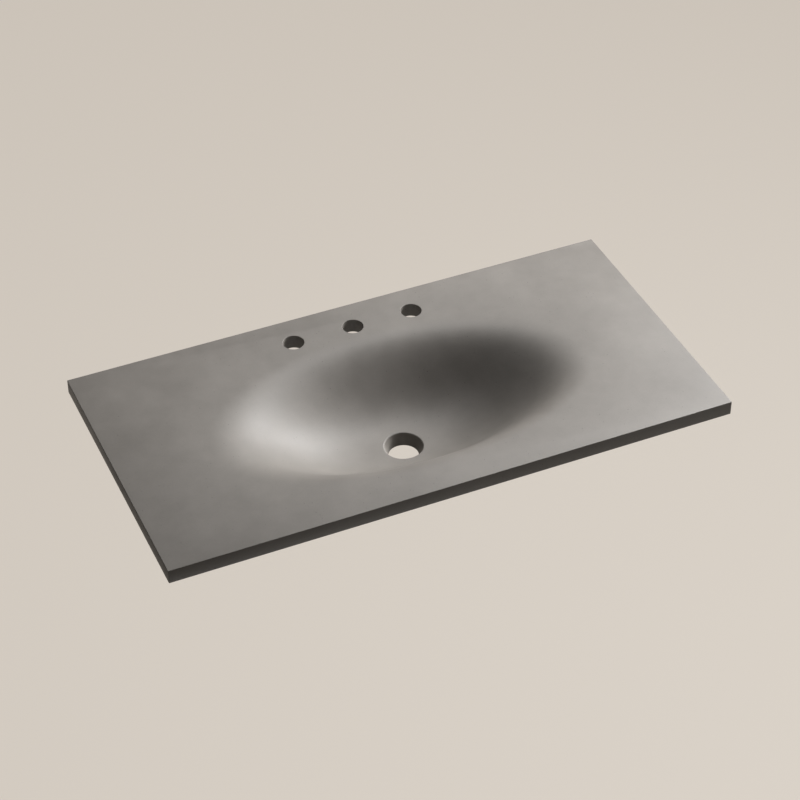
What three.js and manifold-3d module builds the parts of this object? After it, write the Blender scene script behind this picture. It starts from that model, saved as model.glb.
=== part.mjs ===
// Vanity top with an integral oval basin, cast in one pour of fine dark concrete.
// Millimetres. X runs along the top, +Y towards the wall, +Z up.
// The origin is the middle of the deck's underside, the plane that sits on the cabinet.

import * as THREE from "three";
import { mergeVertices } from "three/addons/utils/BufferGeometryUtils.js";
import Module from "manifold-3d";

const wasm = await Module();
wasm.setup();

// Deck
const deckLength = 914.4;
const deckDepth = 464;
const deckThickness = 24;
const deckArris = 0.8;

// Basin
const basinLength = 646;
const basinDepth = 94;
const basinWall = 19;
const basinCentreSetback = 209;
const basinFrontStrip = 49;
const basinTapMargin = 15.5;
const basinPlanPower = 2.1;
const basinFloorPower = 3.2;
const basinEndRimPower = 3.45;
const basinFrontRimPower = 2.8;
const basinBackRimPower = 3.9;
const slopeStepShare = 0.0002;

// Drain
const drainRimDiameter = 60;
const drainOutletDiameter = 48;
const drainRimRadius = 2.5;
const drainBossDiameter = 88;

// Tap holes
const tapHoleDiameter = 34;
const tapHolePitch = 101.6;
const tapHoleSetback = 55.5;
const tapHoleCount = 3;

// Reinforcing bars and their grooves
const rodDiameter = 8;
const grooveWidth = 14;
const grooveDepth = 13;
const grooveEndMargin = 32;
const frontRodSetback = 30;
const rearRodSetback = 20;
const endRodInset = 92;
const crossGrooveMargin = 26;

// Threaded inserts
const insertDiameter = 14;
const insertLength = 16;
const insertBore = 6.8;
const insertBoreDepth = 13;
const insertRingWidth = 1.6;
const insertRingDepth = 0.8;
const insertLeadIn = 0.8;
const insertEndInset = 48;
const insertFrontSetback = 64;
const insertRearSetback = 50;

// Clearances and overruns
const fitGap = 0.3;
const beddingRecess = 0.5;
const cutOverrun = 6;

// Counts of facets
const basinRings = 24;
const basinSegments = 84;
const roundSegments = 40;
const filletSegments = 5;
const smallSegments = 16;

// Places worked out from the sizes above
const deckTop = deckThickness;
const deckFrontY = -deckDepth / 2;
const deckBackY = deckDepth / 2;
const basinCentreY = deckFrontY + basinCentreSetback;
const drainUndersideZ = deckTop - basinDepth - basinWall;
const tapRowY = deckBackY - tapHoleSetback;
const basinReachForward = basinCentreSetback - basinFrontStrip;
const basinReachBack = tapRowY - basinTapMargin - basinCentreY;

// One material for each kind of piece
const castConcrete = new THREE.MeshStandardMaterial({
  name: "cast_concrete",
  color: 0x77756f,
  roughness: 0.62,
  metalness: 0,
});
const barSteel = new THREE.MeshStandardMaterial({
  name: "bar_steel",
  color: 0x6f6a64,
  roughness: 0.5,
  metalness: 0.9,
});
const resinMortar = new THREE.MeshStandardMaterial({
  name: "resin_mortar",
  color: 0x9a978d,
  roughness: 0.75,
  metalness: 0,
});
const insertBrass = new THREE.MeshStandardMaterial({
  name: "insert_brass",
  color: 0xb89a55,
  roughness: 0.35,
  metalness: 0.95,
});

// A closed geometry as a solid that can be joined and cut
function solidFrom(geometry) {
  const bare = geometry.clone();
  bare.deleteAttribute("normal");
  bare.deleteAttribute("uv");
  const merged = mergeVertices(bare);
  return new wasm.Manifold(
    new wasm.Mesh({
      numProp: 3,
      vertProperties: merged.attributes.position.array,
      triVerts: new Uint32Array(merged.index.array),
    }),
  );
}

// The solid back as a flat-shaded geometry
function geometryFrom(solid) {
  const mesh = solid.getMesh();
  const geometry = new THREE.BufferGeometry();
  geometry.setAttribute("position", new THREE.BufferAttribute(mesh.vertProperties, 3));
  geometry.setIndex(new THREE.BufferAttribute(mesh.triVerts, 1));
  const faceted = geometry.toNonIndexed();
  faceted.computeVertexNormals();
  return faceted;
}

// A round bar or cutter standing on the plane z = low
function upright(diameter, low, high, segments) {
  const bar = new THREE.CylinderGeometry(diameter / 2, diameter / 2, high - low, segments);
  bar.rotateX(Math.PI / 2);
  bar.translate(0, 0, (low + high) / 2);
  return bar;
}

// A profile of [radius, height] turned about the Z axis
function turned(profile, segments) {
  const points = profile.map(([radius, height]) => new THREE.Vector2(radius, height));
  const body = new THREE.LatheGeometry(points, segments);
  body.rotateX(Math.PI / 2);
  return body;
}

// A slot outline with round ends, lying along X
function slotShape(length, width) {
  const straight = (length - width) / 2;
  const shape = new THREE.Shape();
  shape.absarc(straight, 0, width / 2, -Math.PI / 2, Math.PI / 2, false);
  shape.absarc(-straight, 0, width / 2, Math.PI / 2, (3 * Math.PI) / 2, false);
  shape.closePath();
  return shape;
}

// How much of the basin's depth lies below a point, by its share of the way from the centre to the rim
// and by how much of that way runs along Y. The floor is nearly flat, the wall falls steadily, and the
// rim runs out level with the deck, tighter in front than at the ends and the back.
function depthShare(reachShare, alongShare) {
  const alongRimPower = alongShare < 0 ? basinFrontRimPower : basinBackRimPower;
  const rimPower = THREE.MathUtils.lerp(basinEndRimPower, alongRimPower, alongShare ** 2);
  return (1 - Math.min(reachShare, 1) ** basinFloorPower) ** rimPower;
}

// Size of a plan vector whose unit is the rim: 1 all round the rounded oval
function planReach(acrossShare, alongShare) {
  const sum = Math.abs(acrossShare) ** basinPlanPower + Math.abs(alongShare) ** basinPlanPower;
  return sum ** (1 / basinPlanPower);
}

// How far the rim lies from the basin's centre line, forwards or back
function reachAlong(y) {
  return y < basinCentreY ? basinReachForward : basinReachBack;
}

// Height of the basin's surface at a place in plan
function basinHeight(x, y) {
  const acrossShare = x / (basinLength / 2);
  const alongShare = (y - basinCentreY) / reachAlong(y);
  const reachShare = planReach(acrossShare, alongShare);
  const turnShare = reachShare > 0 ? alongShare / reachShare : 0;
  return deckTop - basinDepth * depthShare(reachShare, turnShare);
}

// A point of that surface let down by an offset along the surface's normal
function basinPoint(x, y, offset) {
  const step = slopeStepShare * basinLength;
  const slopeX = (basinHeight(x + step, y) - basinHeight(x - step, y)) / (2 * step);
  const slopeY = (basinHeight(x, y + step) - basinHeight(x, y - step)) / (2 * step);
  const normal = new THREE.Vector3(-slopeX, -slopeY, 1).normalize();
  return new THREE.Vector3(x, y, basinHeight(x, y)).addScaledVector(normal, -offset);
}

// A closed solid through a stack of loops, which run anticlockwise seen from above, with a point at each end
function loft(lowPole, loops, highPole) {
  const around = loops[0].length;
  const corners = [lowPole, ...loops.flat(), highPole];
  const triangles = [];
  const at = (loop, step) => 1 + loop * around + (step % around);
  for (let step = 0; step < around; step += 1) {
    triangles.push(0, at(0, step + 1), at(0, step));
    for (let loop = 0; loop + 1 < loops.length; loop += 1) {
      triangles.push(at(loop, step), at(loop, step + 1), at(loop + 1, step + 1));
      triangles.push(at(loop, step), at(loop + 1, step + 1), at(loop + 1, step));
    }
    triangles.push(corners.length - 1, at(loops.length - 1, step), at(loops.length - 1, step + 1));
  }
  const geometry = new THREE.BufferGeometry().setFromPoints(corners);
  geometry.setIndex(triangles);
  return solidFrom(geometry);
}

// What the basin would hold, filled up to the deck and on to lidZ, with its surface let down by an offset:
// the hollow itself without an offset, the outside of the shell with one
function basinSolid(offset, lidZ) {
  const loops = [];
  for (let ring = 1; ring <= basinRings; ring += 1) {
    const loop = [];
    for (let step = 0; step < basinSegments; step += 1) {
      const angle = (2 * Math.PI * step) / basinSegments;
      const scale = ring / basinRings / planReach(Math.cos(angle), Math.sin(angle));
      const reachY = Math.sin(angle) < 0 ? basinReachForward : basinReachBack;
      const x = (basinLength / 2) * scale * Math.cos(angle);
      const y = basinCentreY + reachY * scale * Math.sin(angle);
      loop.push(basinPoint(x, y, offset));
    }
    loops.push(loop);
  }
  const rim = loops[loops.length - 1];
  loops.push(rim.map((point) => point.clone().setZ(lidZ)));
  const lowPole = new THREE.Vector3(0, basinCentreY, deckTop - basinDepth - offset);
  return loft(lowPole, loops, lowPole.clone().setZ(lidZ));
}

// The deck is a plain slab with a small arris round its top and bottom edges
function deckSlab() {
  const halfLength = deckLength / 2 - deckArris;
  const halfDepth = deckDepth / 2 - deckArris;
  const outline = new THREE.Shape([
    new THREE.Vector2(-halfLength, -halfDepth),
    new THREE.Vector2(halfLength, -halfDepth),
    new THREE.Vector2(halfLength, halfDepth),
    new THREE.Vector2(-halfLength, halfDepth),
  ]);
  const slab = new THREE.ExtrudeGeometry(outline, {
    depth: deckThickness - 2 * deckArris,
    bevelThickness: deckArris,
    bevelSize: deckArris,
    bevelSegments: 1,
  });
  slab.translate(0, 0, deckArris);
  return solidFrom(slab);
}

// The drain's cutter: a tapered bore whose rounded rim follows the basin's floor all round
function drainCutter() {
  const rimRadius = drainRimDiameter / 2;
  const outerRadius = rimRadius + drainRimRadius;
  const ringAt = (radius, height) => {
    const loop = [];
    for (let step = 0; step < roundSegments; step += 1) {
      const angle = (2 * Math.PI * step) / roundSegments;
      const floor = basinHeight(
        outerRadius * Math.cos(angle),
        basinCentreY + outerRadius * Math.sin(angle),
      );
      loop.push(
        new THREE.Vector3(
          radius * Math.cos(angle),
          basinCentreY + radius * Math.sin(angle),
          height(floor),
        ),
      );
    }
    return loop;
  };
  const loops = [
    ringAt(drainOutletDiameter / 2, () => drainUndersideZ - cutOverrun),
    ringAt(drainOutletDiameter / 2, () => drainUndersideZ),
  ];
  for (let step = 0; step <= filletSegments; step += 1) {
    const turn = ((Math.PI / 2) * step) / filletSegments;
    const radius = rimRadius + drainRimRadius * (1 - Math.cos(turn));
    loops.push(ringAt(radius, (floor) => floor - drainRimRadius * (1 - Math.sin(turn))));
  }
  loops.push(ringAt(outerRadius, (floor) => floor + cutOverrun));
  const lowPole = new THREE.Vector3(0, basinCentreY, drainUndersideZ - cutOverrun);
  return loft(lowPole, loops, lowPole.clone().setZ(deckTop - basinDepth + cutOverrun));
}

// The drain boss is a flat pad under the floor, for the drain's washer and nut
function drainBoss() {
  const boss = upright(drainBossDiameter, drainUndersideZ, deckTop - basinDepth, roundSegments);
  boss.translate(0, basinCentreY, 0);
  return solidFrom(boss);
}

// Grooves: length, place and turn of each, front, rear, left and right
const longGrooveLength = deckLength - 2 * grooveEndMargin;
const crossGrooveLength =
  deckDepth - frontRodSetback - rearRodSetback - grooveWidth - 2 * crossGrooveMargin;
const crossGrooveY = (frontRodSetback - rearRodSetback) / 2;
const endRodX = deckLength / 2 - endRodInset;
const grooves = [
  { side: "front", length: longGrooveLength, x: 0, y: deckFrontY + frontRodSetback, turn: 0 },
  { side: "rear", length: longGrooveLength, x: 0, y: deckBackY - rearRodSetback, turn: 0 },
  { side: "left", length: crossGrooveLength, x: -endRodX, y: crossGrooveY, turn: Math.PI / 2 },
  { side: "right", length: crossGrooveLength, x: endRodX, y: crossGrooveY, turn: Math.PI / 2 },
];

// A groove is cut into the underside by a round-nosed cutter, so its ends are round
function grooveCutter(groove) {
  const slot = new THREE.ExtrudeGeometry(slotShape(groove.length, grooveWidth), {
    depth: grooveDepth + cutOverrun,
    bevelEnabled: false,
    curveSegments: smallSegments / 2,
  });
  slot.translate(0, 0, -cutOverrun);
  slot.rotateZ(groove.turn);
  slot.translate(groove.x, groove.y, 0);
  return solidFrom(slot);
}

// A bar lies against the roof of its groove and stops short of the groove's round ends
function rod(groove) {
  const bar = new THREE.CylinderGeometry(
    rodDiameter / 2,
    rodDiameter / 2,
    groove.length - 2 * grooveWidth,
    smallSegments,
  );
  const mesh = new THREE.Mesh(bar, barSteel);
  mesh.name = groove.side + "_rod";
  mesh.rotation.z = groove.turn + Math.PI / 2;
  mesh.position.set(groove.x, groove.y, grooveDepth - fitGap - rodDiameter / 2);
  return mesh;
}

// Resin mortar fills the groove round the bar, struck off just above the underside
function bedding(groove) {
  const strip = new THREE.ExtrudeGeometry(
    slotShape(groove.length - 2 * fitGap, grooveWidth - 2 * fitGap),
    {
      depth: grooveDepth - fitGap - beddingRecess,
      bevelEnabled: false,
      curveSegments: smallSegments / 2,
    },
  );
  strip.translate(0, 0, beddingRecess);
  const channelWidth = rodDiameter + 2 * fitGap;
  const channelLength = groove.length - 2 * grooveWidth + 2 * fitGap;
  const rodAxisZ = grooveDepth - fitGap - rodDiameter / 2;
  const round = new THREE.CylinderGeometry(
    channelWidth / 2,
    channelWidth / 2,
    channelLength,
    smallSegments,
  );
  round.rotateZ(Math.PI / 2);
  round.translate(0, 0, rodAxisZ);
  const openTop = new THREE.BoxGeometry(channelLength, channelWidth, grooveDepth);
  openTop.translate(0, 0, rodAxisZ + grooveDepth / 2);
  const body = solidFrom(strip).subtract(solidFrom(round)).subtract(solidFrom(openTop));
  const mesh = new THREE.Mesh(geometryFrom(body), resinMortar);
  mesh.name = groove.side + "_bedding";
  mesh.rotation.z = groove.turn;
  mesh.position.set(groove.x, groove.y, 0);
  return mesh;
}

// Inserts: one near each corner, clear of the grooves
const insertX = deckLength / 2 - insertEndInset;
const insertFrontY = deckFrontY + insertFrontSetback;
const insertRearY = deckBackY - insertRearSetback;
const insertPlaces = [
  { corner: "front_left", x: -insertX, y: insertFrontY },
  { corner: "front_right", x: insertX, y: insertFrontY },
  { corner: "rear_left", x: -insertX, y: insertRearY },
  { corner: "rear_right", x: insertX, y: insertRearY },
];

// A blind pocket for each insert
function insertPocket(place) {
  const pocket = upright(
    insertDiameter + 2 * fitGap,
    -cutOverrun,
    insertLength + 2 * fitGap,
    smallSegments,
  );
  pocket.translate(place.x, place.y, 0);
  return solidFrom(pocket);
}

// A turned sleeve with a blind tapped bore, gripped by the casting at two grooves round its outside
function insert(place) {
  const outer = insertDiameter / 2;
  const waist = outer - insertRingDepth;
  const bore = insertBore / 2;
  const ringStep = (insertLength - 2 * insertRingWidth) / 3;
  const low = fitGap;
  const profile = [
    [bore + insertLeadIn, low],
    [outer, low],
  ];
  for (let ring = 1; ring <= 2; ring += 1) {
    const ringLow = low + ring * ringStep + (ring - 1) * insertRingWidth;
    profile.push([outer, ringLow]);
    profile.push([waist, ringLow]);
    profile.push([waist, ringLow + insertRingWidth]);
    profile.push([outer, ringLow + insertRingWidth]);
  }
  profile.push([outer, low + insertLength]);
  profile.push([0, low + insertLength]);
  profile.push([0, low + insertBoreDepth]);
  profile.push([bore, low + insertBoreDepth]);
  profile.push([bore, low + insertLeadIn]);
  profile.push([bore + insertLeadIn, low]);
  const mesh = new THREE.Mesh(turned(profile, smallSegments), insertBrass);
  mesh.name = place.corner + "_insert";
  mesh.position.set(place.x, place.y, 0);
  return mesh;
}

// The casting: deck, basin shell and drain boss in one, with everything cut out of it
function castTop() {
  let body = deckSlab();
  body = body.add(basinSolid(basinWall, deckTop));
  body = body.add(drainBoss());
  body = body.subtract(basinSolid(0, deckTop + cutOverrun));
  body = body.subtract(drainCutter());
  for (let hole = 0; hole < tapHoleCount; hole += 1) {
    const cutter = upright(tapHoleDiameter, -cutOverrun, deckTop + cutOverrun, roundSegments);
    cutter.translate((hole - (tapHoleCount - 1) / 2) * tapHolePitch, tapRowY, 0);
    body = body.subtract(solidFrom(cutter));
  }
  for (const groove of grooves) body = body.subtract(grooveCutter(groove));
  for (const place of insertPlaces) body = body.subtract(insertPocket(place));
  const mesh = new THREE.Mesh(geometryFrom(body), castConcrete);
  mesh.name = "cast_top";
  return mesh;
}

const vanityTop = new THREE.Group();
vanityTop.name = "vanity_sink_top";
vanityTop.add(castTop());
for (const groove of grooves) vanityTop.add(rod(groove), bedding(groove));
for (const place of insertPlaces) vanityTop.add(insert(place));

export default vanityTop;
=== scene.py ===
"""A cast concrete vanity top with an integral oval basin, in a plain studio."""

import math

import bmesh
import bpy
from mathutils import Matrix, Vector


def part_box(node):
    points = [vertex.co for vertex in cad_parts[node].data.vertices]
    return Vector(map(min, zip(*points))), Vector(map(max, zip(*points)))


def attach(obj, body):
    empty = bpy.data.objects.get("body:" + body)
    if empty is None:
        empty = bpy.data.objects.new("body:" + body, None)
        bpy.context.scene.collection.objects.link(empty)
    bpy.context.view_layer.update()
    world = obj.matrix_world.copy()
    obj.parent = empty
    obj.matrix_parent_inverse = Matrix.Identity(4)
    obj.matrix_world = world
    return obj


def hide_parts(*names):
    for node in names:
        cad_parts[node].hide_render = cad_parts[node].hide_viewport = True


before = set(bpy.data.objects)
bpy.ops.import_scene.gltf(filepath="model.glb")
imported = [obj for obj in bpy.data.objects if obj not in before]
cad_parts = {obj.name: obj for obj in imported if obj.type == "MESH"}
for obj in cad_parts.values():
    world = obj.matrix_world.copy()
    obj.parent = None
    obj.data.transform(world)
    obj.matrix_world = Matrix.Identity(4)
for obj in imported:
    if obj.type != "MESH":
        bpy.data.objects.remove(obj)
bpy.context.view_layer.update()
scene = bpy.context.scene
scene.view_settings.view_transform = "Standard"

# Camera
# The photograph was taken from the front left with a long lens, looking 40 degrees down.
# Its place is in the part's own frame: X along the top, Y to the wall, Z up from the underside.
LENS_MM = 104.8
SENSOR_WIDTH_MM = 36.0
SIGHT_END = 60.0
CAMERA_PLACE = (-1.1184, -2.5220, 2.3152)
CAMERA_AZIMUTH = math.radians(23.99)
CAMERA_DROP = math.radians(39.93)

camera_data = bpy.data.cameras.new("camera")
camera_data.lens = LENS_MM
camera_data.sensor_width = SENSOR_WIDTH_MM
camera_data.clip_end = SIGHT_END
camera = bpy.data.objects.new("camera", camera_data)
camera.location = CAMERA_PLACE
camera.rotation_euler = (math.pi / 2 - CAMERA_DROP, 0.0, -CAMERA_AZIMUTH)
scene.collection.objects.link(camera)
scene.camera = camera


# Casting
# The real piece is one pour of fine dark concrete: a deck 24 mm thick whose face dips into an oval
# basin without any rim line, with a shell of even thickness and a flat drain boss underneath.
# It is cast face down, so the face and the edges are smooth and the underside is struck flat.
MM = 0.001
DECK_LOW, DECK_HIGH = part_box("cast_top")
DECK_LENGTH = DECK_HIGH.x - DECK_LOW.x
DECK_DEPTH = DECK_HIGH.y - DECK_LOW.y
DECK_THICKNESS = DECK_HIGH.z
SIDES = ("front", "rear", "left", "right")
CORNERS = ("front_left", "front_right", "rear_left", "rear_right")
ARRIS = 0.8 * MM
ARRIS_STEPS = 3
ROUND_PROFILE = 0.5
HOLE_ARRIS = 0.4 * MM
FLARE_REACH = 2 * HOLE_ARRIS
CUT_OVERRUN = 6 * MM
FIT_GAP = 0.3 * MM

TAP_HOLE_DIAMETER = 34 * MM
TAP_HOLE_PITCH = 101.6 * MM
TAP_ROW_SETBACK = 55.5 * MM
TAP_ROW_Y = DECK_HIGH.y - TAP_ROW_SETBACK

BASIN_CENTRE_SETBACK = 209 * MM
BASIN_FRONT_STRIP = 49 * MM
BASIN_TAP_MARGIN = 15.5 * MM
BASIN_CENTRE_Y = DECK_LOW.y + BASIN_CENTRE_SETBACK
BASIN = {
    "Length": 646 * MM,
    "Reach forward": BASIN_CENTRE_SETBACK - BASIN_FRONT_STRIP,
    "Reach back": TAP_ROW_Y - BASIN_TAP_MARGIN - BASIN_CENTRE_Y,
    "Depth": 94 * MM,
    "Wall": 19 * MM,
    "Centre Y": BASIN_CENTRE_Y,
    "Deck top": DECK_THICKNESS,
    "Plan power": 2.1,
    "Floor power": 3.2,
    "End rim power": 3.45,
    "Front rim power": 2.8,
    "Back rim power": 3.9,
    "Drain rim": 60 * MM,
    "Drain outlet": 48 * MM,
    "Drain rim radius": 2.5 * MM,
}
DRAIN_BOSS_DIAMETER = 88 * MM
BASIN_RINGS = 110
BASIN_TURNS = 300
DRAIN_TURNS = 120
DRAIN_FILLET_STEPS = 10
HOLE_TURNS = 72

GROOVE_WIDTH = 14 * MM
GROOVE_DEPTH = 13 * MM
GROOVE_TURNS = 24
INSERT_DIAMETER = 14 * MM
INSERT_LENGTH = 16 * MM
INSERT_POCKET_TURNS = 24

# A sheet's rows are whole numbers, tested half a row off, and an end is closed by a ring and a pole
HALF_ROW = 0.5
CAP_ROWS = 2
MERGE_DISTANCE = 0.001 * MM
SMALLEST_REACH = 1e-6
CASTING_SHARP_ANGLE = math.radians(20)

CLOUDS = {"Scale": 4.0, "Detail": 4.0, "Roughness": 0.6}
BLOTCHES = {"Scale": 22.0, "Detail": 5.0, "Roughness": 0.62}
FINE_SAND = {"Scale": 650.0, "Detail": 4.0, "Roughness": 0.75}
SMEARS = {"Scale": 9.0, "Detail": 7.0, "Roughness": 0.72}
PORE_PATCHES = {"Scale": 60.0, "Detail": 1.0, "Roughness": 0.5}
PORE_CELLS = {"Scale": 130.0, "Randomness": 1.0}
CLOUD_SHARE = 0.48
BLOTCH_SHARE = 0.3
SAND_SHARE = 0.22
MOTTLE_START = 0.35
MOTTLE_GAIN = 3.2
SMEAR_SHARE = 0.75
SMEAR_START = 0.36
SMEAR_GAIN = 4
RAW_START = 0.3
RAW_GAIN = 5
PORE_RADIUS = 0.11
RAW_PORE_EXTRA = 0.07
PORE_EDGE_GAIN = 14
PORE_RARITY = 0.56
RAW_PORE_RARITY_LESS = 0.04
# How dark the pores are painted: painted shade in the pinholes
PORE_SHADE_DARKNESS = 0.7
SEALED_TONES = ((0.144, 0.132, 0.118), (0.206, 0.190, 0.172))
RAW_TONES = ((0.168, 0.156, 0.142), (0.282, 0.264, 0.242))
# The pores' near-black tone: painted shade in the pinholes
PORE_SHADE_TONE = (0.045, 0.041, 0.038)
SEALED_ROUGHNESS = 0.58
BLOTCH_ROUGHNESS_SPREAD = 0.16
SAND_ROUGHNESS_SPREAD = 0.1
PORE_ROUGHNESS_EXTRA = 0.3
RAW_ROUGHNESS = 0.78
RAW_ROUGHNESS_SPREAD = 0.3
SAND_HEIGHT = 0.22
BLOTCH_HEIGHT = 0.5
RAW_SMEAR_HEIGHT = 3
RAW_SAND_HEIGHT = 0.5
FACE_BUMP = {"Strength": 0.2, "Distance": 0.5 * MM}


class Wire:
    """A node's output that takes part in sums: an expression on wires adds its Math nodes."""

    def __init__(self, tree, socket=None):
        self.tree = tree
        self.socket = socket

    def node(self, kind, settings=(), inputs=(), output=0):
        """Adds a node of that type, set and with its sockets filled or linked, and gives an output."""
        made = self.tree.nodes.new(kind)
        for name, value in dict(settings).items():
            setattr(made, name, value)
        for key, value in inputs.items() if isinstance(inputs, dict) else enumerate(inputs):
            for each in value if isinstance(value, list) else [value]:
                if isinstance(each, Wire):
                    self.tree.links.new(each.socket, made.inputs[key])
                else:
                    made.inputs[key].default_value = each
        return Wire(self.tree, made.outputs[output])

    def out(self, name):
        """Another output of the same node."""
        return Wire(self.tree, self.socket.node.outputs[name])

    def maths(self, operation, *values):
        """A Math node on those values or wires, or on this wire alone."""
        return self.node("ShaderNodeMath", {"operation": operation}, list(values or [self]))

    def clamped(self):
        """The value held between 0 and 1."""
        return self.node("ShaderNodeClamp", inputs=[self])

    def __add__(self, other):
        return self.maths("ADD", self, other)

    def __radd__(self, other):
        return self.maths("ADD", other, self)

    def __sub__(self, other):
        return self.maths("SUBTRACT", self, other)

    def __rsub__(self, other):
        return self.maths("SUBTRACT", other, self)

    def __mul__(self, other):
        return self.maths("MULTIPLY", self, other)

    def __rmul__(self, other):
        return self.maths("MULTIPLY", other, self)

    def __truediv__(self, other):
        return self.maths("DIVIDE", self, other)

    def __rtruediv__(self, other):
        return self.maths("DIVIDE", other, self)

    def __pow__(self, other):
        return self.maths("POWER", self, other)

    def __lt__(self, other):
        return self.maths("LESS_THAN", self, other)

    def __gt__(self, other):
        return self.maths("GREATER_THAN", self, other)

    def __neg__(self):
        return self.maths("MULTIPLY", self, -1.0)

    def __abs__(self):
        return self.maths("ABSOLUTE")


def choose(test, yes, no):
    """The first value where the test is 1, the second where it is 0."""
    return test * yes + (1 - test) * no


def geometry_tree(name, sizes):
    """A geometry tree with one named input for each size, and those inputs as wires."""
    tree = bpy.data.node_groups.new(name, "GeometryNodeTree")
    tree.interface.new_socket("Geometry", in_out="INPUT", socket_type="NodeSocketGeometry")
    tree.interface.new_socket("Geometry", in_out="OUTPUT", socket_type="NodeSocketGeometry")
    for size in sizes:
        tree.interface.new_socket(size, in_out="INPUT", socket_type="NodeSocketFloat")
    start = Wire(tree).node("NodeGroupInput")
    return start, {size: start.out(size) for size in sizes}


def finish_tree(result, material):
    """Realises what a geometry tree made, gives it its material and sends it out."""
    real = result.node("GeometryNodeRealizeInstances", inputs=[result])
    painted = real.node("GeometryNodeSetMaterial", inputs={"Geometry": real, "Material": material})
    output = painted.tree.nodes.new("NodeGroupOutput")
    painted.tree.links.new(painted.socket, output.inputs["Geometry"])


def grown(name, base, start, sizes):
    """A plain mesh object with what the tree makes from a base mesh at those sizes."""
    seed = bpy.data.objects.new(name + "_seed", base)
    scene.collection.objects.link(seed)
    modifier = seed.modifiers.new("grow", "NODES")
    modifier.node_group = start.tree
    for socket in start.tree.interface.items_tree:
        if socket.in_out == "INPUT" and socket.name in sizes:
            modifier[socket.identifier] = sizes[socket.name]
    bpy.context.view_layer.update()
    evaluated = seed.evaluated_get(bpy.context.evaluated_depsgraph_get())
    mesh = bpy.data.meshes.new_from_object(evaluated)
    mesh.name = name
    bpy.data.objects.remove(seed)
    piece = bpy.data.objects.new(name, mesh)
    scene.collection.objects.link(piece)
    return piece


def soften(piece, angle):
    """Smooth shading, broken at edges sharper than the angle."""
    piece.data.shade_smooth()
    piece.data.set_sharp_from_angle(angle=angle)


def unit_grid(start, rows, turns):
    """A sheet of rows by turns: its row number, and the turn as an angle, come from its place."""
    sheet = start.node(
        "GeometryNodeMeshGrid",
        inputs={"Size X": 1.0, "Size Y": 1.0, "Vertices X": turns + 1, "Vertices Y": rows + 1},
    )
    place = start.node("GeometryNodeInputPosition")
    split = start.node("ShaderNodeSeparateXYZ", inputs=[place])
    angle = (split.out("X") + 0.5) * math.tau
    row = (split.out("Y") + 0.5) * rows
    return sheet, row, angle


def placed(sheet, x, y, z):
    """The sheet's points moved there, with the seam and the poles closed."""
    spot = sheet.node("ShaderNodeCombineXYZ", inputs=[x, y, z])
    moved = sheet.node("GeometryNodeSetPosition", inputs={"Geometry": sheet, "Position": spot})
    merge = {"Geometry": moved, "Distance": MERGE_DISTANCE}
    return sheet.node("GeometryNodeMergeByDistance", inputs=merge)


def plan_reach(across, along, sizes):
    """Size of a plan vector whose unit is the basin's rounded oval."""
    power = sizes["Plan power"]
    return (abs(across) ** power + abs(along) ** power) ** (1 / power)


def reach_along(ahead, sizes):
    """How far the rim lies from the basin's centre line, in front of it or behind."""
    return choose(ahead, sizes["Reach forward"], sizes["Reach back"])


def basin_height(x, y, sizes):
    """Height of the basin's surface at a place in plan."""
    across = x / (sizes["Length"] / 2)
    offset = y - sizes["Centre Y"]
    ahead = offset < 0
    along = offset / reach_along(ahead, sizes)
    reach = plan_reach(across, along, sizes)
    turn = along / reach.maths("MAXIMUM", reach, SMALLEST_REACH)
    along_power = choose(ahead, sizes["Front rim power"], sizes["Back rim power"])
    rim_power = sizes["End rim power"] + (along_power - sizes["End rim power"]) * turn**2
    depth = (1 - reach.maths("MINIMUM", reach, 1.0) ** sizes["Floor power"]) ** rim_power
    return sizes["Deck top"] - sizes["Depth"] * depth


def stretched(vector, size):
    """A vector made longer or shorter."""
    inputs = {"Vector": vector, "Scale": size}
    return vector.node("ShaderNodeVectorMath", {"operation": "SCALE"}, inputs)


def basin_form(start, sizes, let_down, lid_over):
    """The closed solid under a lid at the deck.

    It is the basin's hollow, or the shell's outside where its surface is let down by the wall.
    """
    sheet, row, angle = unit_grid(start, BASIN_RINGS + CAP_ROWS, BASIN_TURNS)
    across = angle.maths("COSINE")
    along = angle.maths("SINE")
    is_pole = row > BASIN_RINGS + CAP_ROWS - HALF_ROW
    share = row.maths("MINIMUM", row / BASIN_RINGS, 1.0) * (1 - is_pole)
    scale = share / plan_reach(across, along, sizes)
    x = sizes["Length"] / 2 * scale * across
    y = sizes["Centre Y"] + reach_along(along < 0, sizes) * scale * along
    is_lid = row > BASIN_RINGS + HALF_ROW
    z = choose(is_lid, sizes["Deck top"] + lid_over, basin_height(x, y, sizes))
    row_kept = sheet.node(
        "GeometryNodeStoreNamedAttribute",
        {"data_type": "FLOAT", "domain": "POINT"},
        {"Geometry": sheet, "Name": "row", "Value": row},
    )
    surface = placed(row_kept, x, y, z)
    if let_down is None:
        return surface
    named = start.node("GeometryNodeInputNamedAttribute", {"data_type": "FLOAT"}, {"Name": "row"})
    normal = start.node("GeometryNodeInputNormal")
    down = start.node("ShaderNodeCombineXYZ", inputs=[0.0, 0.0, -1.0])
    is_rim = (named > BASIN_RINGS - HALF_ROW) * (named < BASIN_RINGS + HALF_ROW)
    is_wall = named < BASIN_RINGS - HALF_ROW
    offset = start.node(
        "ShaderNodeVectorMath",
        {"operation": "ADD"},
        [stretched(normal, let_down * is_wall), stretched(down, let_down * is_rim)],
    )
    return start.node("GeometryNodeSetPosition", inputs={"Geometry": surface, "Offset": offset})


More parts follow.
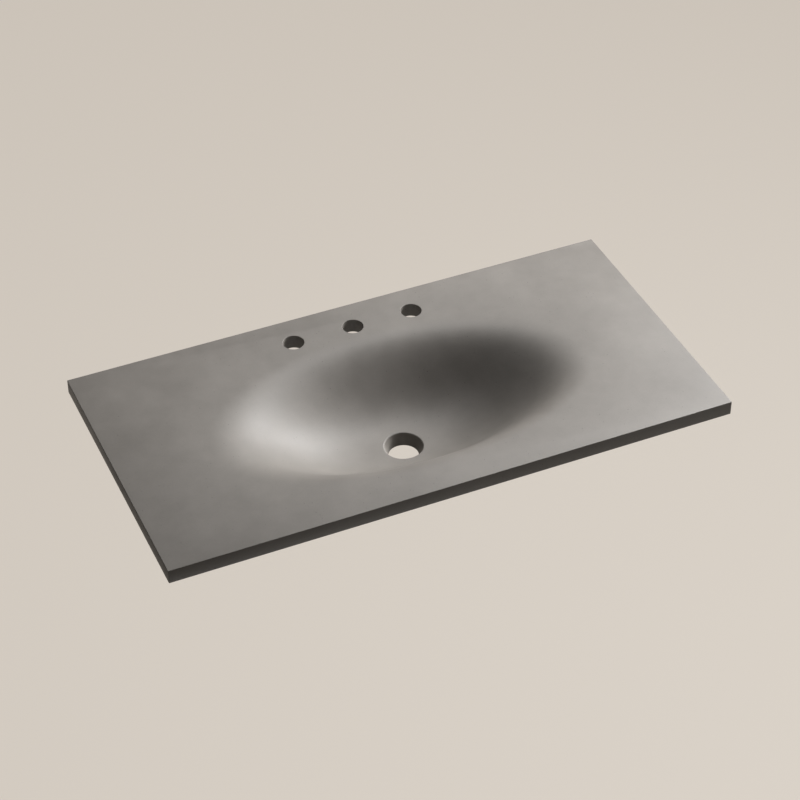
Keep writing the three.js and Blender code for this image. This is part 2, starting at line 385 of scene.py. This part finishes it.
def drain_form(start, sizes):
    """The drain's cutter: a tapered bore whose rounded rim follows the basin's floor all round."""
    steps = DRAIN_FILLET_STEPS
    sheet, row, angle = unit_grid(start, steps + 2 * CAP_ROWS, DRAIN_TURNS)
    across = angle.maths("COSINE")
    along = angle.maths("SINE")
    rim = sizes["Drain rim"] / 2
    outlet = sizes["Drain outlet"] / 2
    fillet = sizes["Drain rim radius"]
    edge = rim + fillet
    floor = basin_height(edge * across, sizes["Centre Y"] + edge * along, sizes)
    bend = ((row - CAP_ROWS) / steps).clamped() * (math.pi / 2)
    taper = (rim - outlet) / (sizes["Wall"] - fillet)
    low_radius = outlet - taper * CUT_OVERRUN
    low = sizes["Deck top"] - sizes["Depth"] - sizes["Wall"] - CUT_OVERRUN
    is_low = row < CAP_ROWS - HALF_ROW
    is_high = row > steps + CAP_ROWS + HALF_ROW
    is_pole = (row < HALF_ROW) + (row > steps + 2 * CAP_ROWS - HALF_ROW)
    radius = choose(is_low, low_radius, rim + fillet * (1 - bend.maths("COSINE"))) * (1 - is_pole)
    rounded = floor - fillet * (1 - bend.maths("SINE"))
    height = choose(is_low, low, choose(is_high, floor + CUT_OVERRUN, rounded))
    return placed(sheet, radius * across, sizes["Centre Y"] + radius * along, height)


def moved_to(part, place, turn=0.0):
    """A part turned about Z and moved."""
    return part.node(
        "GeometryNodeTransform",
        inputs={"Geometry": part, "Translation": place, "Rotation": (0.0, 0.0, turn)},
    )


def upright(start, diameter, low, high, turns):
    """A round bar or cutter standing between two heights."""
    bar = start.node(
        "GeometryNodeMeshCylinder",
        inputs={"Vertices": turns, "Radius": diameter / 2, "Depth": high - low},
    )
    return moved_to(bar, (0.0, 0.0, (low + high) / 2))


def joined(parts):
    """Separate parts as one geometry."""
    return parts[0].node("GeometryNodeJoinGeometry", inputs=[list(parts)])


def combined(operation, first, others):
    """A boolean of closed meshes."""
    settings = {"operation": operation, "solver": "MANIFOLD"}
    if operation == "UNION":
        return first.node("GeometryNodeMeshBoolean", settings, {"Mesh 2": [first, *others]})
    meshes = {"Mesh 1": first, "Mesh 2": list(others)}
    return first.node("GeometryNodeMeshBoolean", settings, meshes)


def tap_hole_form(start):
    """A tap hole's cutter, flared at both faces by cones of 45 degrees that break the edge."""
    bar = upright(start, TAP_HOLE_DIAMETER, -CUT_OVERRUN, DECK_THICKNESS + CUT_OVERRUN, HOLE_TURNS)
    at_face = TAP_HOLE_DIAMETER / 2 + HOLE_ARRIS
    wide, narrow = at_face + FLARE_REACH, at_face - FLARE_REACH
    flare = {"Vertices": HOLE_TURNS, "Depth": 2 * FLARE_REACH}
    upper = {**flare, "Radius Top": wide, "Radius Bottom": narrow}
    lower = {**flare, "Radius Top": narrow, "Radius Bottom": wide}
    top = moved_to(
        start.node("GeometryNodeMeshCone", inputs=upper), (0.0, 0.0, DECK_THICKNESS - FLARE_REACH)
    )
    bottom = moved_to(start.node("GeometryNodeMeshCone", inputs=lower), (0.0, 0.0, -FLARE_REACH))
    return combined("UNION", bar, [top, bottom])


def turn_for(size):
    """The turn about Z that lays what is made along X the way a box of that size is long."""
    return 0.0 if size.x > size.y else math.pi / 2


def groove_form(start, side):
    """The cutter of one groove, round-nosed, as long as its bedding says."""
    low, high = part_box(side + "_bedding")
    centre = (low + high) / 2
    size = high - low
    straight = max(size.x, size.y) + 2 * FIT_GAP - GROOVE_WIDTH
    half = straight / 2
    nose = upright(start, GROOVE_WIDTH, -CUT_OVERRUN, GROOVE_DEPTH, GROOVE_TURNS)
    noses = joined([moved_to(nose, (-half, 0.0, 0.0)), moved_to(nose, (half, 0.0, 0.0))])
    hull = start.node("GeometryNodeConvexHull", inputs=[noses])
    return moved_to(hull, (centre.x, centre.y, 0.0), turn_for(size))


def noise(coordinate, grain):
    """Noise over the surface, from 0 to 1, of that scale per metre, detail and roughness."""
    return coordinate.node("ShaderNodeTexNoise", inputs={"Vector": coordinate, **grain})


def ramped(value, start, gain):
    """0 up to the start, then rising at that gain, to 1 at most."""
    return ((value - start) * gain).clamped()


def spread_about(middle, variation, spread):
    """A middle value made to vary with a noise, whose own middle is a half."""
    return middle + (variation - 0.5) * spread


def bumped(height, bump):
    """A surface normal that shows the height, at that strength and distance."""
    return height.node("ShaderNodeBump", inputs={**bump, "Height": height})


def surface_material(name):
    """A new material, its object coordinates and its shader."""
    material = bpy.data.materials.new(name)
    material.use_nodes = True
    tree = material.node_tree
    shader = tree.nodes["Principled BSDF"]
    place = Wire(tree).node("ShaderNodeTexCoord").out("Object")
    return material, place, shader


def plug(wire, shader, socket):
    """Links a wire to a shader's socket."""
    wire.tree.links.new(wire.socket, shader.inputs[socket])


# A Mix node's colour sockets, by number, because their names are shared
COLOUR_A, COLOUR_B, COLOUR_RESULT = 6, 7, 2


def blended(factor, first, second):
    """One colour going over to another."""
    ends = [end if isinstance(end, Wire) else (*end, 1.0) for end in (first, second)]
    inputs = {"Factor": factor, COLOUR_A: ends[0], COLOUR_B: ends[1]}
    return factor.node("ShaderNodeMix", {"data_type": "RGBA"}, inputs, COLOUR_RESULT)


def concrete_material():
    """Dark concrete under a thin sealer, cloudy, sandy and pricked with pores, and raw below."""
    material, place, shader = surface_material("sealed_concrete")
    clouds = noise(place, CLOUDS)
    blotches = noise(place, BLOTCHES)
    sand = noise(place, FINE_SAND)
    smears = noise(place, SMEARS)
    facing = place.node("ShaderNodeSeparateXYZ", inputs=[place.out("Normal")]).out("Z")
    raw = ramped(-facing, RAW_START, RAW_GAIN)

    cells = place.node("ShaderNodeTexVoronoi", {"feature": "F1"}, {"Vector": place, **PORE_CELLS})
    rare = noise(place, PORE_PATCHES) > PORE_RARITY - raw * RAW_PORE_RARITY_LESS
    pore = ramped(PORE_RADIUS + raw * RAW_PORE_EXTRA, cells, PORE_EDGE_GAIN) * rare

    mottle = clouds * CLOUD_SHARE + blotches * BLOTCH_SHARE + sand * SAND_SHARE
    sealed = blended(ramped(mottle, MOTTLE_START, MOTTLE_GAIN), *SEALED_TONES)
    dust = smears * SMEAR_SHARE + sand * (1 - SMEAR_SHARE)
    dusty = blended(ramped(dust, SMEAR_START, SMEAR_GAIN), *RAW_TONES)
    body = blended(raw, sealed, dusty)
    # The pores are painted near black over the body: painted shade in the pinholes
    plug(blended(pore * PORE_SHADE_DARKNESS, body, PORE_SHADE_TONE), shader, "Base Color")

    satin = spread_about(SEALED_ROUGHNESS, blotches, BLOTCH_ROUGHNESS_SPREAD)
    satin = spread_about(satin, sand, SAND_ROUGHNESS_SPREAD) + pore * PORE_ROUGHNESS_EXTRA
    rough = spread_about(RAW_ROUGHNESS, smears, RAW_ROUGHNESS_SPREAD)
    plug(choose(raw, rough, satin), shader, "Roughness")

    height = sand * SAND_HEIGHT + blotches * BLOTCH_HEIGHT - pore
    height = height + raw * (smears * RAW_SMEAR_HEIGHT + sand * RAW_SAND_HEIGHT)
    plug(bumped(height, FACE_BUMP), shader, "Normal")
    return material


concrete = concrete_material()


def deck_slab():
    """The plain slab that the basin is sunk into, with a rounded arris on every edge."""
    mesh = bpy.data.meshes.new("deck_slab")
    slab = bmesh.new()
    bmesh.ops.create_cube(slab, size=1.0)
    bmesh.ops.scale(slab, vec=(DECK_LENGTH, DECK_DEPTH, DECK_THICKNESS), verts=slab.verts)
    bmesh.ops.translate(slab, vec=(0.0, 0.0, DECK_THICKNESS / 2), verts=slab.verts)
    bmesh.ops.bevel(
        slab,
        geom=list(slab.edges),
        offset=ARRIS,
        segments=ARRIS_STEPS,
        profile=ROUND_PROFILE,
        affect="EDGES",
    )
    slab.to_mesh(mesh)
    slab.free()
    return mesh


def insert_places():
    """Where the four inserts stand, in plan."""
    places = []
    for corner in CORNERS:
        low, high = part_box(corner + "_insert")
        places.append(((low.x + high.x) / 2, (low.y + high.y) / 2))
    return places


def casting():
    """Deck, shell and boss joined, and the basin, holes, grooves and pockets cut out."""
    start, sizes = geometry_tree("casting", BASIN)
    shell = basin_form(start, sizes, sizes["Wall"], 0.0)
    hollow = basin_form(start, sizes, None, CUT_OVERRUN)
    basin_floor = DECK_THICKNESS - BASIN["Depth"]
    bottom = basin_floor - BASIN["Wall"]
    boss = upright(start, DRAIN_BOSS_DIAMETER, bottom, basin_floor, DRAIN_TURNS)
    body = combined("UNION", start, [shell, moved_to(boss, (0.0, BASIN_CENTRE_Y, 0.0))])
    hole = tap_hole_form(start)
    holes = [moved_to(hole, (step * TAP_HOLE_PITCH, TAP_ROW_Y, 0.0)) for step in (-1, 0, 1)]
    grooves = [groove_form(start, side) for side in SIDES]
    pocket = upright(
        start,
        INSERT_DIAMETER + 2 * FIT_GAP,
        -CUT_OVERRUN,
        INSERT_LENGTH + 2 * FIT_GAP,
        INSERT_POCKET_TURNS,
    )
    pockets = [moved_to(pocket, (*corner, 0.0)) for corner in insert_places()]
    body = combined("DIFFERENCE", body, [hollow])
    body = combined("DIFFERENCE", body, [drain_form(start, sizes)])
    body = combined("DIFFERENCE", body, [joined([*holes, *grooves, *pockets])])
    finish_tree(body, concrete)
    return grown("casting", deck_slab(), start, BASIN)


top = casting()
soften(top, CASTING_SHARP_ANGLE)
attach(top, "root")
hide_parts("cast_top")

# Reinforcing bars
# Four hot-rolled ribbed bars of 8 mm stiffen the thin deck, one in front of the basin, one behind the
# tap holes and one at each end. They lie against the roof of their grooves, and the resin fills in
# beside and below them.
BAR_OUTSIDE = 8 * MM
BAR_ROW = 0.8 * MM
BAR_TURNS = 24
BAR_SHARP_ANGLE = math.radians(50)
BAR = {
    "Length": 0.0,
    "Core": 7.2 * MM,
    "Outside": BAR_OUTSIDE,
    "Rib pitch": 5.6 * MM,
    "Rib lean": 0.55,
    "Ridge width": 0.16,
}
RIB_STAGGER = 0.5
RIB_START = 0.45
RIB_FLANK_GAIN = 3
RIB_FADE_POWER = 0.6
RIDGE_FLANK = 0.06

RUST_PATCHES = {"Scale": 60.0, "Detail": 4.0, "Roughness": 0.65}
RUST_SPECKS = {"Scale": 700.0, "Detail": 2.0, "Roughness": 0.6}
RUST_SPECK_SHARE = 0.3
RUST_START = 0.68
RUST_GAIN = 6
SCALE_TONE = (0.115, 0.118, 0.125)
RUST_TONE = (0.230, 0.105, 0.048)
SCALE_ROUGHNESS = 0.42
RUST_ROUGHNESS_EXTRA = 0.35
SPECK_ROUGHNESS_SPREAD = 0.1
SCALE_METALLIC = 0.85
RUST_METALLIC_LESS = 0.8
SCALE_BUMP = {"Strength": 0.3, "Distance": 0.1 * MM}


def scaled_steel():
    """Hot-rolled steel: blue-grey mill scale with a little rust where it has flaked."""
    material, place, shader = surface_material("scaled_steel")
    patches = noise(place, RUST_PATCHES)
    specks = noise(place, RUST_SPECKS)
    rust = ramped(patches + specks * RUST_SPECK_SHARE, RUST_START, RUST_GAIN)
    plug(blended(rust, SCALE_TONE, RUST_TONE), shader, "Base Color")
    rough = SCALE_ROUGHNESS + rust * RUST_ROUGHNESS_EXTRA
    plug(spread_about(rough, specks, SPECK_ROUGHNESS_SPREAD), shader, "Roughness")
    plug(SCALE_METALLIC - rust * RUST_METALLIC_LESS, shader, "Metallic")
    plug(bumped(specks, SCALE_BUMP), shader, "Normal")
    return material


def rib_height(angle, along, sizes):
    """How far the rolled ribs stand up, as a share: two rows of slanted ribs between two ridges."""
    across = angle.maths("SINE")
    facing = abs(across)
    slant = along / sizes["Rib pitch"] + angle.maths("COSINE") * sizes["Rib lean"]
    stagger = (across > 0) * RIB_STAGGER
    wave = ((slant + stagger) * math.tau).maths("COSINE")
    rib = ramped(wave, RIB_START, RIB_FLANK_GAIN) * facing**RIB_FADE_POWER
    ridge = ((sizes["Ridge width"] - facing) / RIDGE_FLANK).clamped()
    return rib.maths("MAXIMUM", rib, ridge)


def ribbed_bar(side):
    """A ribbed bar in its groove, sawn square at its ends."""
    low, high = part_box(side + "_rod")
    size = high - low
    centre = (low + high) / 2
    length = max(size.x, size.y)
    rows = round(length / BAR_ROW)
    start, sizes = geometry_tree("ribbed_bar", BAR)
    sheet, row, angle = unit_grid(start, rows + 2 * CAP_ROWS, BAR_TURNS)
    is_end = (row < CAP_ROWS - HALF_ROW) + (row > rows + CAP_ROWS + HALF_ROW)
    is_pole = (row < HALF_ROW) + (row > rows + 2 * CAP_ROWS - HALF_ROW)
    along = ((row - CAP_ROWS) / rows).clamped() * sizes["Length"]
    core = sizes["Core"] / 2
    rib = (sizes["Outside"] / 2 - core) * rib_height(angle, along, sizes)
    radius = (core + rib * (1 - is_end)) * (1 - is_pole)
    bar = placed(
        sheet,
        along - sizes["Length"] / 2,
        radius * angle.maths("COSINE"),
        radius * angle.maths("SINE"),
    )
    finish_tree(moved_to(bar, tuple(centre), turn_for(size)), bar_steel)
    bar_sizes = {**BAR, "Length": length}
    return grown(side + "_ribbed_bar", bpy.data.meshes.new(side), start, bar_sizes)


bar_steel = scaled_steel()
for side in SIDES:
    bar = ribbed_bar(side)
    soften(bar, BAR_SHARP_ANGLE)
    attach(bar, "root")
    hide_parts(side + "_rod")

# Resin mortar
# Each groove is filled round its bar with sanded resin and struck off just short of the underside,
# where it dries to a buff strip that has crept up a little along the groove's edges.
RESIN_NOSE_STEPS = 24
CHANNEL_TURNS = 24
STRIP_SHARP_ANGLE = math.radians(35)
STRIP = {"Channel width": BAR_OUTSIDE + 2 * FIT_GAP, "Channel length": 0.0, "Channel axis": 0.0}
# The creep's section: how far in from the strip's edge and how high above it, in millimetres
RESIN_CREEP = ((0.0, 0.0), (0.5, 0.14), (1.2, 0.30), (2.2, 0.42), (3.6, 0.50))

RESIN_SAND = {"Scale": 1500.0, "Detail": 2.0, "Roughness": 0.7}
RESIN_DRIFT = {"Scale": 45.0, "Detail": 3.0, "Roughness": 0.5}
RESIN_SAND_SHARE = 0.6
RESIN_DRIFT_SHARE = 0.4
RESIN_TONE_START = 0.32
RESIN_TONE_GAIN = 2.8
RESIN_TONES = ((0.235, 0.225, 0.190), (0.420, 0.410, 0.360))
RESIN_ROUGHNESS = 0.62
RESIN_ROUGHNESS_SPREAD = 0.2
RESIN_SAND_HEIGHT = 0.3
RESIN_BUMP = {"Strength": 0.35, "Distance": 0.6 * MM}


def sanded_resin():
    """Buff resin full of fine sand: matt, speckled, and slightly uneven where it was struck."""
    material, place, shader = surface_material("sanded_resin")
    sand = noise(place, RESIN_SAND)
    drift = noise(place, RESIN_DRIFT)
    mixed = sand * RESIN_SAND_SHARE + drift * RESIN_DRIFT_SHARE
    tone = ramped(mixed, RESIN_TONE_START, RESIN_TONE_GAIN)
    plug(blended(tone, *RESIN_TONES), shader, "Base Color")
    plug(spread_about(RESIN_ROUGHNESS, drift, RESIN_ROUGHNESS_SPREAD), shader, "Roughness")
    plug(bumped(sand * RESIN_SAND_HEIGHT + drift, RESIN_BUMP), shader, "Normal")
    return material


def strip_mesh(length, width, low, high):
    """A round-nosed strip lying along X, its lower face hollowed by the resin's creep."""
    mesh = bpy.data.meshes.new("resin_strip")
    strip = bmesh.new()
    levels = [(0.0, high)] + [(inset * MM, low + lift * MM) for inset, lift in RESIN_CREEP]
    straight = (length - width) / 2
    loops = []
    for inset, height in levels:
        radius = width / 2 - inset
        loop = []
        for step in range(2 * (RESIN_NOSE_STEPS + 1)):
            nose, turn = divmod(step, RESIN_NOSE_STEPS + 1)
            angle = math.pi * (nose + turn / RESIN_NOSE_STEPS - 0.5)
            shift = straight if nose == 0 else -straight
            spot = (shift + radius * math.cos(angle), radius * math.sin(angle), height)
            loop.append(strip.verts.new(spot))
        loops.append(loop)
    strip.faces.new(loops[0])
    strip.faces.new(reversed(loops[-1]))
    for upper, lower in zip(loops, loops[1:]):
        for step, corner in enumerate(upper):
            after = (step + 1) % len(upper)
            strip.faces.new((corner, lower[step], lower[after], upper[after]))
    strip.to_mesh(mesh)
    strip.free()
    return mesh


def resin_strip(side):
    """The strip in its groove, with the channel that the bar fills."""
    low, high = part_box(side + "_bedding")
    bar_low, bar_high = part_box(side + "_rod")
    size = high - low
    base = strip_mesh(max(size.x, size.y), min(size.x, size.y), low.z, high.z)
    start, sizes = geometry_tree("resin_strip", STRIP)
    width, length, axis = sizes["Channel width"], sizes["Channel length"], sizes["Channel axis"]
    channel = start.node(
        "GeometryNodeMeshCylinder",
        inputs={"Vertices": CHANNEL_TURNS, "Radius": width / 2, "Depth": length},
    )
    laid = start.node(
        "GeometryNodeTransform",
        inputs={
            "Geometry": channel,
            "Translation": start.node("ShaderNodeCombineXYZ", inputs=[0.0, 0.0, axis]),
            "Rotation": (0.0, math.pi / 2, 0.0),
        },
    )
    box_size = start.node("ShaderNodeCombineXYZ", inputs=[length, width, GROOVE_DEPTH])
    box = start.node("GeometryNodeMeshCube", inputs={"Size": box_size})
    box_lift = start.node("ShaderNodeCombineXYZ", inputs=[0.0, 0.0, axis + GROOVE_DEPTH / 2])
    strip = combined("DIFFERENCE", start, [laid, moved_to(box, box_lift)])
    middle = (low + high) / 2
    finish_tree(moved_to(strip, (middle.x, middle.y, 0.0), turn_for(size)), resin)
    bar_size = bar_high - bar_low
    strip_sizes = {
        **STRIP,
        "Channel length": max(bar_size.x, bar_size.y) + 2 * FIT_GAP,
        "Channel axis": (bar_low.z + bar_high.z) / 2,
    }
    return grown(side + "_resin_strip", base, start, strip_sizes)


resin = sanded_resin()
for side in SIDES:
    strip = resin_strip(side)
    soften(strip, STRIP_SHARP_ANGLE)
    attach(strip, "root")
    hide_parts(side + "_bedding")

# Threaded inserts
# Four blind sleeves turned from brass bar, knurled and twice grooved so that the concrete grips them.
# Each is cast in near a corner, its mouth just inside the underside, and takes an M8 hold-down screw.
INSERT_BORE = 6.8 * MM
INSERT_BORE_DEPTH = 13 * MM
DRILL_POINT_ANGLE = math.radians(31)
INSERT_CHAMFER = 0.5 * MM
INSERT_LEAD_IN = 0.8 * MM
INSERT_RING_COUNT = 2
INSERT_RING_WIDTH = 1.6 * MM
INSERT_RING_DEPTH = 0.8 * MM
INSERT_TURNS = 96
INSERT_ROW = 0.16 * MM
INSERT_SHARP_ANGLE = math.radians(40)
INSERT = {
    "Outside": INSERT_DIAMETER,
    "Bore": INSERT_BORE,
    "Thread pitch": 1.25 * MM,
    "Thread depth": 0.6 * MM,
    "Thread foot": 0.0,
    "Thread head": 0.0,
    "Knurl count": 32.0,
    "Knurl depth": 0.3 * MM,
    "Knurl lean": 2600.0,
}
THREAD_STEEPNESS = 1.4
THREAD_ROOT_SHARE = 0.2

TARNISH = {"Scale": 220.0, "Detail": 3.0, "Roughness": 0.6}
TOOL_LINES = {"Scale": 1.0, "Detail": 1.0, "Roughness": 0.5}
TOOL_LINE_STRETCH = (60.0, 60.0, 9000.0)
TARNISH_START = 0.38
TARNISH_GAIN = 3.2
BRASS_TONES = ((0.66, 0.48, 0.20), (0.50, 0.34, 0.14))
BRASS_ROUGHNESS = 0.26
TARNISH_ROUGHNESS_EXTRA = 0.14
TOOL_LINE_ROUGHNESS_SPREAD = 0.12


def turned_brass():
    """Free-cutting brass as turned: bright but fine-lined, gone a little brown."""
    material, place, shader = surface_material("turned_brass")
    mapping = {"Vector": place, "Scale": TOOL_LINE_STRETCH}
    lines = noise(place.node("ShaderNodeMapping", inputs=mapping), TOOL_LINES)
    tarnish = ramped(noise(place, TARNISH), TARNISH_START, TARNISH_GAIN)
    plug(blended(tarnish, *BRASS_TONES), shader, "Base Color")
    rough = BRASS_ROUGHNESS + tarnish * TARNISH_ROUGHNESS_EXTRA
    plug(spread_about(rough, lines, TOOL_LINE_ROUGHNESS_SPREAD), shader, "Roughness")
    shader.inputs["Metallic"].default_value = 1.0
    return material


def lathed(name, profile, turns):
    """A turned body from a profile of radius and height, closed where that meets the axis."""
    mesh = bpy.data.meshes.new(name)
    body = bmesh.new()
    loops = []
    for radius, height in profile:
        if radius == 0.0:
            loops.append([body.verts.new((0.0, 0.0, height))])
            continue
        loop = []
        for step in range(turns):
            angle = math.tau * step / turns
            loop.append(body.verts.new((radius * math.cos(angle), radius * math.sin(angle), height)))
        loops.append(loop)
    for first, second in zip(loops, loops[1:]):
        for step in range(turns):
            after = (step + 1) % turns
            corners = [first[step % len(first)], first[after % len(first)]]
            corners += [second[after % len(second)], second[step % len(second)]]
            body.faces.new(list(dict.fromkeys(corners)))
    bmesh.ops.recalc_face_normals(body, faces=body.faces)
    body.to_mesh(mesh)
    body.free()
    return mesh


def rows_between(radius, start, end):
    """Points down or up a straight wall, a row apart, without its first."""
    count = max(1, round(abs(end - start) / INSERT_ROW))
    return [(radius, start + (end - start) * step / count) for step in range(1, count + 1)]


def sleeve_profile(low, high):
    """The sleeve's outline, from the middle of its closed end round to the bottom of its bore."""
    outer = INSERT_DIAMETER / 2
    waist = outer - INSERT_RING_DEPTH
    bore = INSERT_BORE / 2
    band = (high - low - INSERT_RING_COUNT * INSERT_RING_WIDTH) / (INSERT_RING_COUNT + 1)
    profile = [(0.0, high), (outer - INSERT_CHAMFER, high), (outer, high - INSERT_CHAMFER)]
    level = high - INSERT_CHAMFER
    for ring in range(INSERT_RING_COUNT, 0, -1):
        ring_high = low + ring * band + ring * INSERT_RING_WIDTH
        profile += rows_between(outer, level, ring_high)
        profile += [(waist, ring_high), (waist, ring_high - INSERT_RING_WIDTH)]
        level = ring_high - INSERT_RING_WIDTH
        profile.append((outer, level))
    profile += rows_between(outer, level, low + INSERT_CHAMFER)
    profile += [(outer - INSERT_CHAMFER, low), (bore + INSERT_LEAD_IN, low)]
    profile.append((bore, low + INSERT_LEAD_IN))
    bore_end = low + INSERT_BORE_DEPTH
    profile += rows_between(bore, low + INSERT_LEAD_IN, bore_end)
    profile.append((0.0, bore_end + bore * math.tan(DRILL_POINT_ANGLE)))
    return profile


def insert_sleeve(corner):
    """A sleeve with its knurl and its thread cut in."""
    low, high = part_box(corner + "_insert")
    base = lathed(corner, sleeve_profile(low.z, high.z), INSERT_TURNS)
    start, sizes = geometry_tree("insert_sleeve", INSERT)
    place = start.node("GeometryNodeInputPosition")
    split = start.node("ShaderNodeSeparateXYZ", inputs=[place])
    x, y, z = split.out("X"), split.out("Y"), split.out("Z")
    radius = (x**2 + y**2).maths("SQRT")
    angle = y.maths("ARCTAN2", y, x)

    turn = z / sizes["Thread pitch"] - angle / math.tau
    flank = 1 - abs(turn.maths("FRACT") * 2 - 1)
    cut = (flank * THREAD_STEEPNESS - THREAD_ROOT_SHARE).clamped() * sizes["Thread depth"]
    bore = sizes["Bore"] / 2
    in_bore = (radius < bore + INSERT_ROW) * (radius > bore - INSERT_ROW)
    in_thread = in_bore * (z > sizes["Thread foot"]) * (z < sizes["Thread head"])

    steps = angle * sizes["Knurl count"] / 2
    lean = z * sizes["Knurl lean"]
    crossing = abs((steps + lean).maths("SINE"))
    other = abs((steps - lean).maths("SINE"))
    valley = (1 - crossing.maths("MINIMUM", crossing, other)) * sizes["Knurl depth"]
    on_knurl = radius > sizes["Outside"] / 2 - INSERT_ROW

    grown_by = in_thread * cut - on_knurl * valley
    scale = 1 + grown_by / radius.maths("MAXIMUM", radius, INSERT_ROW)
    spot = start.node("ShaderNodeCombineXYZ", inputs=[x * scale, y * scale, z])
    shaped = start.node("GeometryNodeSetPosition", inputs={"Geometry": start, "Position": spot})
    middle = (low + high) / 2
    finish_tree(moved_to(shaped, (middle.x, middle.y, 0.0)), brass)
    sleeve_sizes = {
        **INSERT,
        "Thread foot": low.z + INSERT_LEAD_IN,
        "Thread head": low.z + INSERT_BORE_DEPTH - INSERT["Thread pitch"],
    }
    return grown(corner + "_sleeve", base, start, sleeve_sizes)


brass = turned_brass()
for corner in CORNERS:
    sleeve = insert_sleeve(corner)
    soften(sleeve, INSERT_SHARP_ANGLE)
    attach(sleeve, "root")
    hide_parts(corner + "_insert")

# Floor and backdrop
# A plain pale studio floor, well below the top, that sweeps up into a wall all round. Its tone is
# its own, seen by the camera, in the gloss and through the holes, and it still takes the shadow.
FLOOR_DROP = 3.4
FLOOR_REACH = 12.0
SWEEP_RADIUS = 3.0
SWEEP_STEPS = 16
WALL_TOP = 6.0
WALL_FADE = 4.0
STAGE_TURNS = 96
FLOOR_TONE = (0.56, 0.506, 0.445)
FLOOR_PAINT = (0.09, 0.088, 0.083, 1.0)
FLOOR_ROUGHNESS = 0.9
NO_LIGHT = (0.0, 0.0, 0.0)


def swept_floor():
    """The floor's surface: a disc, a quarter round and an upright wall."""
    sweep = [math.pi / 2 * step / SWEEP_STEPS for step in range(SWEEP_STEPS + 1)]
    profile = [(0.0, -FLOOR_DROP)]
    for rise in sweep:
        out = FLOOR_REACH + SWEEP_RADIUS * math.sin(rise)
        profile.append((out, -FLOOR_DROP + SWEEP_RADIUS * (1 - math.cos(rise))))
    profile.append((FLOOR_REACH + SWEEP_RADIUS, WALL_TOP))
    return lathed("floor", profile, STAGE_TURNS)


def floor_paint():
    """Matt paint whose own tone dies away towards the top of the wall."""
    material, place, shader = surface_material("floor_paint")
    light_path = place.node("ShaderNodeLightPath")
    seen = light_path.out("Is Camera Ray") + light_path.out("Is Glossy Ray")
    seen = (seen + light_path.out("Is Transmission Ray")).clamped()
    height = place.node("ShaderNodeSeparateXYZ", inputs=[place]).out("Z")
    fade = ((WALL_TOP - height) / WALL_FADE).clamped()
    plug(blended(seen * fade, NO_LIGHT, FLOOR_TONE), shader, "Emission Color")
    shader.inputs["Emission Strength"].default_value = 1.0
    shader.inputs["Base Color"].default_value = FLOOR_PAINT
    shader.inputs["Roughness"].default_value = FLOOR_ROUGHNESS
    return material


floor = bpy.data.objects.new("floor", swept_floor())
scene.collection.objects.link(floor)
floor.data.shade_smooth()
floor.data.materials.append(floor_paint())

# Lamps
# Soft daylight from the right and the back, and a little thrown back up by the pale floor. It falls
# on the basin's left end and leaves its right end dark. The lamps are kept out of the camera's
# sight, so that no view looks into one.
SKY_COLOUR = (0.9, 0.9, 0.9, 1.0)
SKY_STRENGTH = 0.012

world = bpy.data.worlds.new("world")
scene.world = world
world.use_nodes = True
background = world.node_tree.nodes["Background"]
background.inputs["Color"].default_value = SKY_COLOUR
background.inputs["Strength"].default_value = SKY_STRENGTH


def softbox(name, azimuth, elevation, distance, size, level):
    """A square lamp aimed at the origin, seen there at that level whatever its distance."""
    data = bpy.data.lights.new(name, "AREA")
    data.shape = "SQUARE"
    data.size = size
    data.energy = 4 * math.pi * distance**2 * level
    lamp = bpy.data.objects.new(name, data)
    turn, rise = math.radians(azimuth), math.radians(elevation)
    flat = math.cos(rise)
    away = Vector((math.sin(turn) * flat, math.cos(turn) * flat, math.sin(rise)))
    lamp.location = distance * away
    lamp.rotation_euler = (-away).to_track_quat("-Z", "Y").to_euler()
    lamp.visible_camera = False
    scene.collection.objects.link(lamp)


# Azimuth from the wall and elevation in degrees, distance and width in metres, and level
LAMPS = {
    "window": (75, 28, 6.0, 2.1, 1.452),
    "left_window": (60, 28, 6.0, 2.1, 0.153),
    "right_window": (105, 20, 6.0, 2.1, 0.196),
    "skylight": (45, 65, 3.0, 1.05, 0.241),
    "back_skylight": (30, 50, 3.0, 1.05, 0.071),
    "front_bounce": (182, -30, 1.2, 0.5, 0.02),
    "floor_bounce": (0, -90, 3.0, 2.0, 0.3),
}
for lamp_name, (azimuth, elevation, distance, size, level) in LAMPS.items():
    softbox(lamp_name, azimuth, elevation, distance, size, level)
